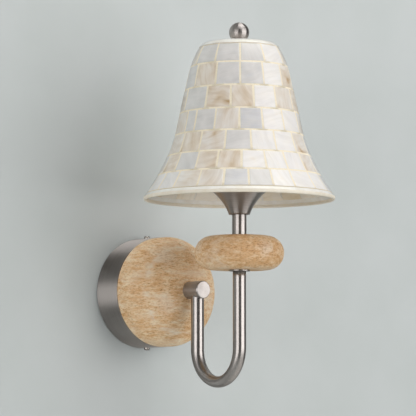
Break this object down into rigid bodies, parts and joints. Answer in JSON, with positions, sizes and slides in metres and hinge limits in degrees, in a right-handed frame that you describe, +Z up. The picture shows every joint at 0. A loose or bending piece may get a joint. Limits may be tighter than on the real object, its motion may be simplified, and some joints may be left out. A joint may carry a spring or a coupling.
{
  "type": "shell wall sconce",
  "caption": "Wall light with a bell shade of shell tiles on a U-bent metal arm with a stone disc, a stone bead and a ball finial.",
  "frame": {"origin": "centre of the wall bracket's back face, on the axis of the drum, the stone disc and the boss", "axes": "+Y into the wall, +Z up, +X to the right seen from the front; the lamp stands out towards -Y"},
  "size_m": [0.2014, 0.2732, 0.3863],
  "materials": {
    "satin_nickel": "satin brushed nickel",
    "zinc_steel": "bright zinc plated steel",
    "brass": "plain brass",
    "harp_wire": "nickel plated wire",
    "travertine": "honed warm tan travertine",
    "white_nylon": "natural nylon",
    "soft_pad": "pale soft washer",
    "base_steel": "plain spun aluminium",
    "white_porcelain": "white glazed",
    "black_insulator": "black moulded",
    "tin_contact": "tinned contact",
    "frosted_glass": "frosted white",
    "cream_resin": "cream resin with a soft sheen",
    "pearl_shell": "polished mother of pearl",
    "lead_sheath": "white flexible lead"
  },
  "bodies": {
    "fixture": {"wall_bracket": "zinc_steel", "earth_screw": "brass", "terminal_block": "white_nylon", "block_screw": "zinc_steel", "terminal_screws": "zinc_steel", "canopy_drum": "satin_nickel", "canopy_screws": "satin_nickel", "centre_nipple": "zinc_steel", "canopy_washer": "zinc_steel", "canopy_nut": "zinc_steel", "stone_disc": "travertine", "arm_boss": "satin_nickel", "u_arm": "satin_nickel", "arm_coupler": "brass", "bead_washer": "satin_nickel", "stone_bead": "travertine", "stem_sleeve": "satin_nickel", "stem_nipple": "zinc_steel", "trumpet_cup": "satin_nickel", "cup_spacer": "zinc_steel", "harp_saddle": "zinc_steel", "harp": "harp_wire", "harp_ferrules": "brass", "harp_hub": "brass", "shade_pad": "soft_pad", "holder_cap": "base_steel", "holder_body": "white_porcelain", "holder_screw_shell": "brass", "holder_contact": "brass", "inner_lead": "lead_sheath"},
    "shade": {"shade_shell": "cream_resin", "shell_tiles_row_1": "pearl_shell", "shell_tiles_row_2": "pearl_shell", "shell_tiles_row_3": "pearl_shell", "shell_tiles_row_4": "pearl_shell", "shell_tiles_row_5": "pearl_shell", "shell_tiles_row_6": "pearl_shell", "shell_tiles_row_7": "pearl_shell", "rim_band": "pearl_shell", "rim_edging": "cream_resin", "finial_washer": "satin_nickel"},
    "finial": {"ball_finial": "satin_nickel"},
    "bulb": {"bulb_globe": "frosted_glass", "bulb_cap": "base_steel", "bulb_insulator": "black_insulator", "bulb_contact": "tin_contact"}
  },
  "joints": [
    {"name": "shade_turn", "type": "hinge", "parent": "fixture", "child": "shade", "pos_m": [0, -0.1725, 0.2584], "axis": [0, 0, 1], "continuous": true},
    {"name": "finial_unscrew", "type": "hinge", "parent": "fixture", "child": "finial", "pos_m": [0, -0.1725, 0.27], "axis": [0, 0, 1], "range_deg": [0, 3240]},
    {"name": "bulb_unscrew", "type": "hinge", "parent": "fixture", "child": "bulb", "pos_m": [0, -0.1725, 0.13], "axis": [0, 0, 1], "range_deg": [0, 1980]}
  ]
}
